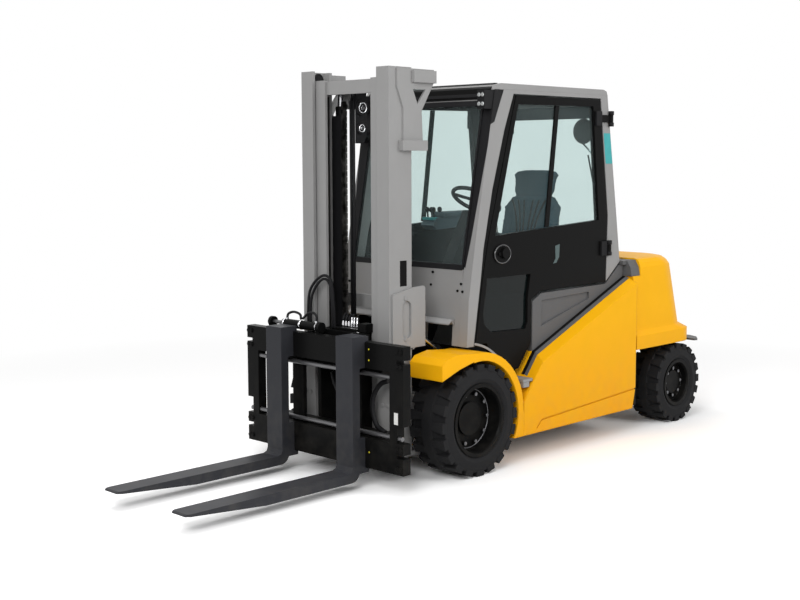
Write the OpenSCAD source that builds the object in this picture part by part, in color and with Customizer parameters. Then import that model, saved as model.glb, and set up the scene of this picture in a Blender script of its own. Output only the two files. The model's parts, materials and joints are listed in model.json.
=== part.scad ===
// Electric counterbalance forklift with a closed cab, a two-stage mast and a fork positioner.
// Forward is -Y, the driver's left is +X, up is +Z, and every size is in millimetres.
// Places along Y are measured from the front axle; place() then centres the footprint.

/* [Layout] */
// distance between the front and the rear axle
wheelbase = 2260; // [1900:5:2600]
// front axle to the front face of the forks
load_distance = 800; // [780:5:860]
// length of a fork blade, face to tip
fork_length = 1200; // [900:10:1800]
// rear axle to the end of the rear plate
rear_overhang = 390; // [360:5:600]
// half width over the side panels
panel_x = 700; // [660:5:760]
// half width of the cab
cab_x = 575; // [550:5:600]
// height of the lower edge of the body
sill_z = 185; // [150:5:220]

/* [Wheels] */
// front tyre over the lugs
front_tyre_d = 706; // [660:2:730]
// front tyre width
front_tyre_w = 284; // [240:2:300]
// front rim where the tyre sits
front_rim_d = 444; // [400:2:460]
// rear tyre over the lugs
rear_tyre_d = 590; // [540:2:594]
// rear tyre width
rear_tyre_w = 250; // [200:2:256]
// rear rim where the tyre sits
rear_rim_d = 330; // [310:2:340]
// depth of the tread lugs
lug_h = 16; // [8:1:24]

/* [Mast] */
// height of the lowered mast
mast_h = 2514; // [2300:1:2700]
// half width over the outer channels
mast_x = 390; // [380:1:396]
// front face of the outer channels
mast_front_y = -487; // [-495:1:-480]
// depth of the outer channels
mast_depth = 195; // [190:1:200]
// wall of the outer channels
mast_wall = 22; // [16:1:24]

/* [Forks] */
// width of one fork
fork_w = 146; // [100:2:160]
// middle of each fork from the centre plane
fork_x = 324; // [260:2:400]
// thickness of the shank and of the blade at the heel
fork_t = 58; // [45:1:62]
// lower face of the blades above the floor
fork_z = 55; // [40:1:70]
// half width of the side shifter
shifter_x = 712; // [680:2:740]

/* [Clearances] */
// radial play of the door hinge pins
hinge_play = 0.4; // [0.2:0.1:1]
// radial play of a pivot pin
pin_play = 0.3; // [0.2:0.1:2]
// radial play of a rod in its barrel
rod_play = 2; // [1:0.5:3]

/* [Hidden] */
$fn = 64;

total_length = fork_length + load_distance + wheelbase + rear_overhang;
front_axle_y = fork_length + load_distance - total_length / 2;
rear_y = wheelbase;
rear_end = wheelbase + rear_overhang;
front_r = front_tyre_d / 2;
rear_r = rear_tyre_d / 2;
front_wheel_x = panel_x + 5 - front_tyre_w / 2;
rear_wheel_x = panel_x + 5 - rear_tyre_w / 2;
kingpin_x = rear_wheel_x - 142;

// mast: the inner channels nest in the outer ones, the carriage runs in the inner ones
mast_back_y = mast_front_y + mast_depth;
nest = 10;
flange = 104;
back_flange = 72;
inner_x = mast_x - mast_wall - nest;
inner_wall = 20;
inner_edge = 204;
inner_front_y = mast_front_y + mast_wall + nest;
inner_back_y = mast_back_y - mast_wall - nest;
inner_top_z = mast_h - 59;
roller_y = (inner_front_y + inner_back_y) / 2;
lift_x = 250;
lift_y = mast_back_y + 12;
pivot_y = -240;
pivot_z = 300;
chain_x = 180;
sheave_z = inner_top_z - 125;
sheave_r = 50;
sheave_y = lift_y + 26;
brace_y = sheave_y + sheave_r + 12;

// tilt cylinders: pin on the mast, pin on the chassis
tilt_x = 350;
tilt_top = [-215, 890];
tilt_base = [330, 520];
tilt_len = norm(tilt_top - tilt_base);
tilt_angle = atan2(tilt_base[0] - tilt_top[0], tilt_top[1] - tilt_base[1]);

// cab outline
roof_z = 2400;
deck_z = 1240;
hood_z = 1040;
cab_in = cab_x - 40;
weight_z = 600;
tub_y = front_r + 77;
fender_top = 2 * front_r + 89;
floor_z = 580;
panel_rear = wheelbase - 563;
weight_y = panel_rear + 19;
hood_end = weight_y + 92;
hood_foot = 1128;
seat_gap = 0.3;
shifter_front = -load_distance + fork_t + 42;
carriage_front = shifter_front + 64;
shifter_back = carriage_front - seat_gap;
shifter_bars = [[132, 315], [735, 890]];
between_bars = [shifter_bars[0][1] - 1, shifter_bars[1][0] + 1];
guide_y = shifter_front + 20;
guide_z = [345, 700];
shift_y = shifter_front + 70;
shift_z = 925;
wheel_hub = [0, 755, 1680];
wheel_lean = 32;

silver = [0.62, 0.63, 0.64];
grey = [0.42, 0.43, 0.45];
black = [0.06, 0.06, 0.07];
yellow = [0.90, 0.58, 0.06];
slate = [0.20, 0.22, 0.25];
steel = [0.75, 0.76, 0.78];
clear = [0.70, 0.80, 0.78, 0.35];

module place() translate([0, front_axle_y, 0]) children();

module both() {
  children();
  mirror([1, 0, 0]) children();
}

module side(s) mirror([s < 0 ? 1 : 0, 0, 0]) children();

// box between two corners given as ranges
module box(x, y, z)
  translate([x[0], y[0], z[0]]) cube([x[1] - x[0], y[1] - y[0], z[1] - z[0]]);

// side outline in Y and Z, thick between two places along X
module slab(x0, x1)
  translate([x0, 0, 0]) rotate([90, 0, 90]) linear_extrude(height = x1 - x0) children();

module rod_x(r, x0, x1, y, z)
  translate([x0, y, z]) rotate([0, 90, 0]) cylinder(r = r, h = x1 - x0);

module rod_z(r, z0, z1, x, y)
  translate([x, y, z0]) cylinder(r = r, h = z1 - z0);

// points along an arc, for outlines
function arc(c, r, a0, a1, n) =
  [for (i = [0 : n]) c + r * [cos(a0 + (a1 - a0) * i / n), sin(a0 + (a1 - a0) * i / n)]];

// wheels
module tyre(d, w, seat_d, lugs) {
  r = d / 2;
  base = r - lug_h;
  lug_w = 0.3 * PI * d / lugs;
  half = [
    [seat_d / 2, w / 2 - 24], [seat_d / 2 + 40, w / 2 - 1], [base - 12, w / 2 - 8],
    [base, 0.16 * w], [r, 0.13 * w]
  ];
  low = [for (i = [len(half) - 1 : -1 : 0]) [half[i][0], -half[i][1]]];
  color(black) {
    rotate([0, 90, 0]) rotate_extrude($fn = 44) polygon(concat(half, low));
    for (m = [0, 1]) mirror([m, 0, 0]) for (i = [0 : lugs - 1])
      rotate([(i + m / 2) * 360 / lugs, 0, 0]) translate([0, 0, base - 24])
        linear_extrude(height = sqrt(r * r - lug_w * lug_w) - base + 23.5) polygon([
          [0.1 * w, -0.5 * lug_w], [w / 2 - 4, -lug_w], [w / 2 - 4, lug_w], [0.1 * w, 0.8 * lug_w]
        ]);
  }
}

module rim(w, seat_d, bore_r, disc_x, nuts, nut_r) {
  s = seat_d / 2;
  color(black) difference() {
    union() {
      rotate([0, 90, 0]) rotate_extrude($fn = 72) polygon([
        [s - 20, -w / 2 + 20], [s - 1, -w / 2 + 20], [s - 1, w / 2 - 20],
        [s + 4, w / 2 - 18], [s + 10, w / 2 - 10], [s - 14, w / 2 - 10], [s - 20, w / 2 - 22]
      ]);
      rod_x(s - 14, disc_x, disc_x + 16, 0, 0);
      rod_x(bore_r + 46, disc_x - 40, disc_x + 34, 0, 0);
      for (i = [0 : nuts - 1])
        rotate([i * 360 / nuts, 0, 0]) rod_x(14, disc_x + 15, disc_x + 36, nut_r, 0, $fn = 6);
    }
    rod_x(bore_r, disc_x - 60, disc_x + 22, 0, 0);
  }
}

module front_tyre(s) side(s) translate([front_wheel_x, 0, front_r])
  tyre(front_tyre_d, front_tyre_w, front_rim_d, 20);

module front_rim(s) side(s) translate([front_wheel_x, 0, front_r])
  rim(front_tyre_w, front_rim_d, 60 + pin_play, 18, 10, 158);

module rear_tyre(s) side(s) translate([rear_wheel_x, rear_y, rear_r])
  tyre(rear_tyre_d, rear_tyre_w, rear_rim_d, 20);

module rear_rim(s) side(s) translate([rear_wheel_x, rear_y, rear_r])
  rim(rear_tyre_w, rear_rim_d, 40 + pin_play, 40, 8, 102);

// chassis
module chassis_frame() color(slate) difference() {
  union() {
    box([-500, 500], [tub_y, panel_rear + 3], [sill_z + 15, 560]);
    box([-300, 300], [110, tub_y + 1], [sill_z + 15, 560]);
    box([-690, 690], [panel_rear, panel_rear + 18], [sill_z + 15, weight_z - 10]);
    box([-150, 150], [panel_rear + 10, rear_y + 150], [420, weight_z]);
    both() for (x = [tilt_x - 53, tilt_x + 40])
      slab(x, x + 13) polygon([[tub_y + 1, 440], [tub_y + 1, 560], [315, 560], [296, 520], [315, 485]]);
    both() rod_x(18, tilt_x - 53, tilt_x + 53, tilt_base[0], tilt_base[1]);
  }
  box([-470, 470], [tub_y + 30, panel_rear - 30], [sill_z + 45, 561]);
}

module battery_block() color(grey) box([-460, 460], [668, panel_rear - 42], [sill_z + 45, 1000]);

module drive_axle() color(black) {
  rod_x(95, -300, 300, 0, front_r);
  box([-300, 300], [-110, 110], [front_r - 110, front_r + 110]);
  both() rod_x(80, 300, front_wheel_x - 60, 0, front_r);
  both() rod_x(60, 300, front_wheel_x + 34, 0, front_r);
  both() slab(376, 406) polygon([
    [-40, 290], [-40, 420], [pivot_y, pivot_z + 44], [pivot_y, pivot_z - 44]
  ]);
  both() rod_x(44, 376, 406, pivot_y, pivot_z);
  both() rod_x(24, 306, 406, pivot_y, pivot_z);
}

module steer_axle() color(black) {
  box([-(kingpin_x - 80), kingpin_x - 80], [rear_y - 60, rear_y + 60], [rear_r - 65, rear_r + 65]);
  box([-120, 120], [rear_y - 60, rear_y + 60], [rear_r + 65, 420]);
  both() {
    box([kingpin_x - 85, kingpin_x - 48], [rear_y - 45, rear_y + 45], [rear_r - 112, rear_r + 112]);
    for (z = [rear_r - 112, rear_r + 88]) {
      box([kingpin_x - 60, kingpin_x], [rear_y - 45, rear_y + 45], [z, z + 24]);
      rod_z(45, z, z + 24, kingpin_x, rear_y);
    }
    rod_z(22, rear_r - 112, rear_r + 112, kingpin_x, rear_y);
  }
}

module knuckle(s) side(s) color(black) difference() {
  union() {
    rod_z(42, rear_r - 82, rear_r + 82, kingpin_x, rear_y);
    rod_x(40, kingpin_x, rear_wheel_x + 56, rear_y, rear_r);
    rod_x(70, kingpin_x + 40, kingpin_x + 62, rear_y, rear_r);
  }
  rod_z(22 + pin_play, rear_r - 90, rear_r + 90, kingpin_x, rear_y);
}

// counterweight plan: straight sides and round corners
module weight_plan(w, end, r) {
  translate([-w, weight_y]) square([2 * w, end - r - weight_y]);
  translate([-(w - r), weight_y]) square([2 * (w - r), end - weight_y]);
  for (s = [-1, 1]) translate([s * (w - r), end - r]) circle(r = r);
}

module weight_slice(z, h, inset, back, r)
  translate([0, 0, z]) linear_extrude(height = h) weight_plan(panel_x - 6 - inset, rear_end - 125 - back, r);

// a skirt over the wheels, a fillet, and a body that leans in towards a rounded top
module counterweight() color(yellow) difference() {
  union() {
    weight_slice(weight_z, 96, 0, 0, 200);
    hull() {
      weight_slice(weight_z + 95, 1, 0, 0, 200);
      weight_slice(weight_z + 136, 1, 27, 57, 246);
    }
    hull() {
      weight_slice(weight_z + 130, 1, 26, 57, 246);
      weight_slice(deck_z - 55, 1, 44, 125, 300);
      weight_slice(deck_z - 22, 1, 54, 150, 300);
      weight_slice(deck_z + 2, 1, 72, 186, 296);
      weight_slice(deck_z + 9, 1, 98, 226, 280);
    }
  }
  box([-panel_x, panel_x], [weight_y - 1, hood_end], [hood_foot, deck_z + 20]);
}

// thin plate under the skirt with a thick tongue for the towing pin
module rear_plate() color(slate) difference() {
  union() {
    translate([0, 0, weight_z - 14]) linear_extrude(height = 14) polygon([
      [-690, rear_y + 236], [690, rear_y + 236], [700, rear_y + 266], [640, rear_end - 40], [560, rear_end],
      [-560, rear_end], [-640, rear_end - 40], [-700, rear_y + 266]
    ]);
    box([-200, 200], [rear_y + 240, rear_end], [weight_z - 28, weight_z - 13]);
  }
  rod_z(20, weight_z - 40, weight_z + 10, 0, rear_end - 45);
}

// side panel: an inner outline and a smaller outer one, joined by a bevel
panel_in = [
  [tub_y, sill_z], [panel_rear - 34, sill_z], [panel_rear, sill_z + 150], [panel_rear, 1128],
  [660, 698], [548, 560], [tub_y, 420]
];
panel_out = [
  [tub_y, sill_z], [panel_rear - 34, sill_z], [panel_rear, sill_z + 150], [panel_rear, 1085],
  [622, 645], [530, 540], [tub_y, 405]
];

module side_panel(s) side(s) color(yellow) difference() {
  union() {
    slab(512, 602) polygon(panel_in);
    hull() {
      slab(600, 602) polygon(panel_in);
      slab(panel_x - 2, panel_x) polygon(panel_out);
    }
  }
  slab(panel_x - 10, panel_x + 1) polygon([
    [tub_y + 139, sill_z + 29], [tub_y + 187, sill_z + 75], [panel_rear + 1, sill_z + 136],
    [panel_rear + 1, sill_z + 144], [tub_y + 183, sill_z + 83], [tub_y + 131, sill_z + 32]
  ]);
}

// fender: a round arch over the wheel with a flat shelf in front of the cab
module fender(s) side(s) color(yellow) difference() {
  slab(430, panel_x) polygon(concat(
    [[-351, fender_top - 155], [-351, fender_top - 60], [-310, fender_top - 25], [-200, fender_top - 5]],
    arc([0, front_r], front_r + 72, 95, 0, 12),
    [[tub_y, front_r - 20], [tub_y, sill_z], [tub_y - 180, sill_z], [0, front_r]],
    [[-60, fender_top - 67], [-200, fender_top - 101]]
  ));
  rod_x(front_r + 19, 420, panel_x + 10, 0, front_r);
}

module steps() color(silver) both() box([500, panel_x - 8], [tub_y - 2, tub_y + 92], [534, 552]);

// height of the side panel's sloping edge
function slope_z(y) = 698 + (y - 660) * (1128 - 698) / (panel_rear - 660);

module cab_side_panels() color(grey) both() difference() {
  slab(506, cab_x) polygon([
    [663, slope_z(663)], [663, 1030], [758, 1078], [1486, 1086], [1650, 1210],
    [panel_rear, 1210], [panel_rear, 1128]
  ]);
  slab(cab_x - 14, cab_x + 1) polygon([[760, 860], [760, 1030], [1290, 1046], [1290, 1000]]);
}

module hood() color(grey) {
  slab(-506, 506) polygon([
    [640, 560], [664, 560], [664, 1006], [1565, 1006], [1565, 1210], [weight_y, 1210],
    [weight_y, deck_z], [1540, deck_z], [1540, hood_z], [640, hood_z]
  ]);
  box([-600, 600], [1662, weight_y], [1210, deck_z]);
  translate([0, hood_end - seat_gap, 0]) rotate([90, 0, 0])
    linear_extrude(height = hood_end - panel_rear - 6) polygon([
      [-648, hood_foot + seat_gap], [648, hood_foot + seat_gap], [636, 1190],
      [606, deck_z], [-606, deck_z], [-636, 1190]
    ]);
}

// cab
module cab_frame() color(silver) {
  both() slab(cab_in - 30, cab_x) polygon([
    [10, fender_top], [84, fender_top], [152, 1220], [204, 1460], [470, roof_z - 24], [470, roof_z],
    [268, roof_z], [90, 1460], [30, 1100]
  ]);
  both() slab(cab_in, cab_x) polygon([
    [1492, 1108], [1504, 1571], [1399, roof_z - 24], [1399, roof_z], [1476, roof_z],
    [1605, 1571], [1655, 1235]
  ]);
  both() box([cab_in, cab_x], [460, 1410], [roof_z - 24, roof_z]);
  both() for (h = hinges) {
    rod_z(8, h[0] - 45, h[0] + 45, hinge_x, hinge_y);
    for (z = [h[0] - 45, h[0] + 26]) {
      box([cab_x - 2, hinge_x], [hinge_y + 4, hinge_y + 20], [z, z + 19]);
      rod_z(14, z, z + 19, hinge_x, hinge_y);
    }
    box([cab_x - 2, cab_x + 1], [h[1] + 12, hinge_y + 20], [h[0] - 45, h[0] - 30]);
  }
  slab(-cab_in, cab_in) polygon([[253, 2330], [320, 2330], [330, roof_z], [268, roof_z]]);
  slab(-cab_in, cab_in) polygon([[1400, 2330], [1470, 2330], [1474, roof_z], [1392, roof_z]]);
  slab(-cab_in, cab_in) polygon([[1540, deck_z], [1640, deck_z], [1630, 1300], [1540, 1300]]);
}

// back of the front cowl at a height
function cowl_y(z) = 52 + (z - fender_top) * 30 / (1276 - fender_top);

module front_cowl() color(grey) difference() {
  slab(-(cab_in - 30), cab_in - 30) polygon([
    [12, fender_top], [cowl_y(fender_top), fender_top], [cowl_y(1276), 1276], [48, 1276], [32, 1100]
  ]);
  both() box([tilt_x - 150, tilt_x + 96], [0, 100], [fender_top - 5, 930]);
}

module windscreen() color(clear) slab(-(cab_in - 30), cab_in - 30)
  polygon([[58, 1276], [74, 1276], [270, 2330], [254, 2330]]);

module rear_window() color(clear) slab(-cab_in, cab_in)
  polygon([[1575, 1300], [1589, 1300], [1428, 2330], [1414, 2330]]);

module roof_panel() color(grey) difference() {
  slab(-cab_x, cab_x) polygon([
    [268, roof_z], [1476, roof_z], [1466, roof_z + 26], [1430, roof_z + 38],
    [330, roof_z + 38], [280, roof_z + 26]
  ]);
  box([-400, 400], [430, 1330], [roof_z - 5, roof_z + 60]);
}

module roof_glass() color(clear) box([-400, 400], [430, 1330], [roof_z + 12, roof_z + 22]);

// top of the sloping toe board
function toe_z(y) = fender_top - (y - 70) * (fender_top - floor_z) / 350;

module floor_plate() color(black) {
  slab(-430, 430) polygon([
    [cowl_y(fender_top), fender_top], [cowl_y(fender_top - 7), fender_top - 7], [415, 560], [640, 560],
    [640, floor_z], [420, floor_z], [70, fender_top]
  ]);
  both() box([429, 500], [tub_y, 640], [560, floor_z]);
}

module steering_column() color(black) {
  slab(-45, 45) polygon([[150, toe_z(150)], [230, toe_z(230)], [735, 1590], [665, 1615]]);
  slab(-240, 240) polygon([[cowl_y(1150), 1150], [cowl_y(1262), 1262], [200, 1262], [200, 1150]]);
  translate(wheel_hub) rotate([-wheel_lean, 0, 0]) translate([0, 0, -100])
    cylinder(r = 24, h = 78 - seat_gap);
}

module steering_wheel() color(black) translate(wheel_hub) rotate([-wheel_lean, 0, 0]) {
  rotate_extrude() translate([170, 0]) circle(r = 14, $fn = 24);
  translate([0, 0, -22]) cylinder(r = 40, h = 30);
  for (a = [90, 210, 330]) rotate([0, 0, a]) translate([20, -14, -8]) cube([148, 28, 12]);
}

// seat
module seat_base() color(black) box([-215, 215], [830, 1350], [hood_z, 1130]);

module seat_cushion() color(slate) box([-250, 250], [780, 1240], [1130, 1250]);

module seat_back() color(slate) {
  slab(-245, 245) polygon([[1240 + seat_gap, 1130], [1350, 1130], [1450, 1690], [1350, 1690]]);
  slab(-140, 140) polygon([[1360, 1690], [1444, 1690], [1468, 1880], [1390, 1880]]);
}

module armrest() color(black) {
  slab(-420, -300) polygon([[640, 1500], [680, 1550], [1140, 1550], [1140, 1490], [680, 1470]]);
  slab(-390, -330) polygon([[1040, hood_z], [1120, hood_z], [1120, 1490], [1040, 1486]]);
}

// front edge of the front pillar at a height
function pillar_y(z) = 90 + (z - 1460) * (268 - 90) / (roof_z - 1460);

module work_lamps() color(black) both() {
  slab(cab_x - 62, cab_x - 4) polygon([
    [170, 2276], [170, 2392], [pillar_y(2392) - 2.2, 2392], [pillar_y(2276) - 2.2, 2276]
  ]);
  box([320, 400], [1490, 1552], [2150, 2230]);
  slab(350, 370) polygon([[1470.7, 2336], [1500, 2336], [1520, 2229], [1494, 2229]]);
}

// round spot lamp on the right front pillar
module spot_lamp() color(black) {
  translate([-520, 148, 2120]) rotate([-90, 0, 0]) cylinder(r = 46, h = 44);
  box([-560, -530], [190, pillar_y(2106) - 1], [2106, 2134]);
}

// doors
door_edge = [
  [94, fender_top + 13], [200, fender_top + 7], [345, 602], [520, 602], [646, 760], [646, 1046], [750, 1094],
  [1484, 1102], [1496, 1571], [1391, 2368], [479, 2368], [213, 1458], [161, 1218]
];
door_window = [[278, 1480], [1394, 1540], [1312, 2320], [500, 2310]];
door_light = [
  [203, 1215], [166, 1000], [172, 930], [240, 868], [590, 856], [612, 900], [612, 1060], [640, 1215]
];
door_bar = [[798, 1516], [838, 1516], [938, 2314], [898, 2314]];

// hinges: height and the door's rear edge there
hinge_x = cab_x + 17;
hinge_y = 1500;
hinges = [[1340, 1490], [2240, 1408]];

module door(s) side(s) color(black) {
  difference() {
    slab(cab_in, cab_x) polygon(door_edge);
    slab(cab_in - 1, cab_x + 1) polygon(door_window);
    slab(cab_in - 1, cab_x + 1) polygon(door_light);
  }
  slab(cab_in + 22 + seat_gap, cab_x - 6) polygon(door_bar);
  rod_x(36, cab_x - 1, cab_x + 26, 360, 1368);
  for (h = hinges) difference() {
    union() {
      rod_z(15, h[0] - 25, h[0] + 25, hinge_x, hinge_y);
      box([cab_x + 1.5, cab_x + 16], [h[1] - 70, hinge_y], [h[0] - 25, h[0] + 25]);
      box([cab_x - 1, cab_x + 16], [h[1] - 70, h[1] - 12], [h[0] - 25, h[0] + 25]);
    }
    rod_z(8 + hinge_play, h[0] - 30, h[0] + 30, hinge_x, hinge_y);
  }
}

module door_glass(s) side(s) color(clear) {
  slab(cab_in + 14, cab_in + 22) polygon(door_window);
  slab(cab_in + 14, cab_in + 22) polygon(door_light);
}

// mast
// upright channel: a web, a wide flange in front and a narrower one behind
module channel(x, wall, y0, y1, front, back, z0, z1)
  translate([0, 0, z0]) linear_extrude(height = z1 - z0) polygon([
    [x, y0], [x, y1], [x - back, y1], [x - back, y1 - wall], [x - wall, y1 - wall],
    [x - wall, y0 + wall], [x - front, y0 + wall], [x - front, y0]
  ]);

module mast_outer() color(silver) {
  both() channel(mast_x, mast_wall, mast_front_y, mast_back_y, flange, back_flange, 130, mast_h);
  box([-mast_x, mast_x], [inner_back_y - 6, mast_back_y + 76], [130, 160]);
  both() box(
    [inner_x + seat_gap, mast_x - mast_wall + 1], [roller_y - 40, roller_y + 40], [mast_h - 200, mast_h - 60]
  );
  for (z = [420, 1010, mast_h - 130]) {
    box([-mast_x, mast_x], [brace_y, brace_y + 24], [z, z + 85]);
    both() box([mast_x - 55, mast_x], [mast_back_y - 2, brace_y + 24], [z, z + 85]);
  }
  both() difference() {
    slab(306, 370) polygon([
      [mast_back_y - 2, 170], [mast_back_y - 2, 430], [pivot_y, 352], [pivot_y + 46, pivot_z], [pivot_y, 246]
    ]);
    rod_x(24 + pin_play, 300, 380, pivot_y, pivot_z);
  }
  both() box([296, 390], [mast_back_y - 1, mast_back_y + 18], [830, 960]);
  both() for (x = [296, mast_x - 2]) slab(x, x + 14) polygon([
    [mast_back_y - 1, 800], [mast_back_y - 1, 1000], [tilt_top[0] + 26, 960], [tilt_top[0] + 30, 850]
  ]);
  both() slab(mast_x - 1, mast_x + 14) difference() {
    polygon([
      [-470, 850], [-470, 1150], [-300, 1184], [mast_back_y + 96, 1188], [mast_back_y + 107, 1176],
      [mast_back_y + 107, 812], [-360, 812]
    ]);
    translate([-385, 912]) square([75, 156]);
    for (z = [912, 1068]) translate([-347.5, z]) circle(r = 37.5);
  }
  both() rod_x(16, 296, mast_x + 14, tilt_top[0], tilt_top[1]);
  both() slab(mast_x - 1, mast_x + 12) difference() {
    polygon([
      [-425, mast_h - 120], [-425, mast_h - 8], [-105, mast_h - 8], [-105, mast_h - 85], [-215, mast_h - 260],
      [-200, mast_h - 498], [-372, mast_h - 498], [-372, mast_h - 245]
    ]);
    polygon([[-290, mast_h - 130], [-180, mast_h - 130], [-250, mast_h - 220]]);
  }
  both() box([mast_x, mast_x + 34], [-300, -105], [mast_h - 90, mast_h - 16]);
  both() box([mast_x, mast_x + 34], [-400, -182], [mast_h - 498, mast_h - 436]);
}

module lift_barrels() color(black) both() difference() {
  rod_z(33, 160, 2300, lift_x, lift_y);
  rod_z(22 + rod_play, 190, 2310, lift_x, lift_y);
}

module lift_rods() color(steel) both() rod_z(22, 220, inner_top_z - 52, lift_x, lift_y);

module mast_inner() color(silver) {
  both() channel(
    inner_x, inner_wall, inner_front_y, inner_back_y, inner_x - inner_edge, back_flange, 170, inner_top_z
  );
  box([-300, 300], [inner_front_y + 16, inner_front_y + 44], [inner_top_z - 90, inner_top_z - 20]);
  box([-300, 300], [inner_front_y + 16, inner_back_y - 16], [inner_top_z - 52, inner_top_z - 6]);
  box([-300, 300], [inner_back_y - 14, inner_back_y - 2], [200, 290]);
  both() box(
    [chain_x - 34, lift_x + 32], [inner_back_y - 20, sheave_y + 30], [inner_top_z - 52, inner_top_z - 14]
  );
  both() box([inner_x - 1, mast_x - mast_wall - seat_gap], [roller_y - 40, roller_y + 40], [190, 330]);
  both() {
    rod_x(sheave_r, chain_x - 22, chain_x + 22, sheave_y, sheave_z);
    for (x = [chain_x - 34, chain_x + 22])
      box([x, x + 12], [sheave_y - 30, sheave_y + 30], [sheave_z - 30, inner_top_z - 50]);
  }
}

module lift_chains() color(black) both() box(
  [chain_x - 20, chain_x + 20], [sheave_y - sheave_r - 24, sheave_y - sheave_r - seat_gap],
  [904 + seat_gap, sheave_z]
);

// carriage, side shifter and forks
module carriage() color(black) {
  both() box([inner_edge - 36, inner_edge - 10], [-545, -352], [150, 880]);
  both() for (z = [240, 780]) rod_x(42, inner_edge - 11, inner_x - inner_wall - 8, roller_y, z);
  for (z = [250, 690]) box([-480, 480], [carriage_front, -545], [z, z + 85]);
  box([-256, 256], [-545, -520], [760, 904]);
  both() box([chain_x - 26, inner_edge - 10], [-530, sheave_y - sheave_r], [872, 904]);
}

module side_shifter() color(black) difference() {
  union() {
    for (z = shifter_bars) box([-shifter_x, shifter_x], [shifter_front, shifter_back], z);
    both() box([shifter_x - 110, shifter_x], [shifter_front, shifter_back], between_bars);
    both() box([200, 300], [shifter_front + 35, shifter_back], between_bars);
    rod_x(28, -420, -60, shift_y, shift_z);
    rod_x(33, -90, -60, shift_y, shift_z);
    rod_x(33, -545, -520, shift_y, shift_z);
    for (x = [-545, -410, -90])
      box([x, x + 25], [shift_y - 24, shift_y + 24], [shifter_bars[1][1] - 1, shift_z]);
  }
  both() for (z = [[228, 252], [318, 420], [786, 810]])
    box([shifter_x - 52, shifter_x + 1], [shifter_front - 1, shifter_back + 1], z);
  for (z = guide_z) rod_x(14 + seat_gap, -shifter_x + 20, shifter_x - 20, guide_y, z);
  rod_x(12 + seat_gap, -546, -300, shift_y, shift_z);
}

// bright rods that guide the forks, and the rod of the shift cylinder
module positioner_rods() color(steel) {
  for (z = guide_z) rod_x(14, -shifter_x + 22, shifter_x - 22, guide_y, z);
  rod_x(12, -544, -302, shift_y, shift_z);
}

module fork(s) side(s) color(slate) intersection() {
  face = -load_distance;
  tip = face - fork_length;
  top = fork_z + fork_t;
  back = face + fork_t;
  pad = shifter_front - seat_gap;
  hook = shifter_front + 30;
  slab(fork_x - fork_w / 2, fork_x + fork_w / 2) polygon(concat(
    [[hook, 924], [face, 924], [face, top + 34], [face - 10, top + 10], [face - 34, top]],
    [[tip + 12, top], [tip, top - 5], [tip, top - 12], [face - 0.55 * fork_length, fork_z]],
    arc([back - 70, fork_z + 70], 70, -90, -20.9, 6),
    [[hook, 100], [hook, shifter_bars[0][0] - seat_gap], [pad, shifter_bars[0][0] - seat_gap]],
    [[pad, shifter_bars[0][1]], [back, shifter_bars[0][1]]],
    [[back, shifter_bars[1][0]], [pad, shifter_bars[1][0]]],
    [[pad, shifter_bars[1][1] + seat_gap], [hook, shifter_bars[1][1] + seat_gap]]
  ));
  translate([fork_x, 0, 0]) linear_extrude(height = 1000) polygon([
    [-fork_w / 2, -500], [-fork_w / 2, tip + 30], [-fork_w / 2 + 14, tip],
    [fork_w / 2 - 14, tip], [fork_w / 2, tip + 30], [fork_w / 2, -500]
  ]);
}

// tilt cylinders, drawn along Z from the chassis pin and then leaned forward
module tilt_frame(s) side(s) translate([tilt_x, tilt_base[0], tilt_base[1]])
  rotate([tilt_angle, 0, 0]) children();

module tilt_barrel(s) tilt_frame(s) color(black) difference() {
  union() {
    rod_x(34, -38, 38, 0, 0);
    rod_z(36, 20, 440, 0, 0);
  }
  rod_x(18 + pin_play, -40, 40, 0, 0);
  rod_z(20 + rod_play, 60, 418, 0, 0);
  rod_z(20 + pin_play, 417, 450, 0, 0);
}

module tilt_rod(s) tilt_frame(s) color(steel) difference() {
  union() {
    rod_z(20, 160, tilt_len - 18, 0, 0);
    rod_x(32, -25, 25, 0, tilt_len);
  }
  rod_x(20, -30, 30, 0, tilt_len);
}

place() chassis_frame();
place() battery_block();
place() drive_axle();
place() steer_axle();
place() counterweight();
place() rear_plate();
place() side_panel(1);  // side_panel_left
place() side_panel(-1);  // side_panel_right
place() fender(1);  // fender_left
place() fender(-1);  // fender_right
place() steps();
place() cab_side_panels();
place() hood();
place() cab_frame();
place() front_cowl();
place() roof_panel();
place() roof_glass();
place() windscreen();
place() rear_window();
place() floor_plate();
place() steering_column();
place() steering_wheel();
place() seat_base();
place() seat_cushion();
place() seat_back();
place() armrest();
place() work_lamps();
place() spot_lamp();
place() door(1);  // door_left
place() door_glass(1);  // door_left_glass
place() door(-1);  // door_right
place() door_glass(-1);  // door_right_glass
place() mast_outer();
place() lift_barrels();
place() mast_inner();
place() lift_rods();
place() lift_chains();
place() carriage();
place() side_shifter();
place() positioner_rods();
place() fork(1);  // fork_left
place() fork(-1);  // fork_right
place() tilt_barrel(1);  // tilt_barrel_left
place() tilt_barrel(-1);  // tilt_barrel_right
place() tilt_rod(1);  // tilt_rod_left
place() tilt_rod(-1);  // tilt_rod_right
place() front_tyre(1);  // front_tyre_left
place() front_rim(1);  // front_rim_left
place() front_tyre(-1);  // front_tyre_right
place() front_rim(-1);  // front_rim_right
place() knuckle(1);  // knuckle_left
place() knuckle(-1);  // knuckle_right
place() rear_tyre(1);  // rear_tyre_left
place() rear_rim(1);  // rear_rim_left
place() rear_tyre(-1);  // rear_tyre_right
place() rear_rim(-1);  // rear_rim_right
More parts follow.
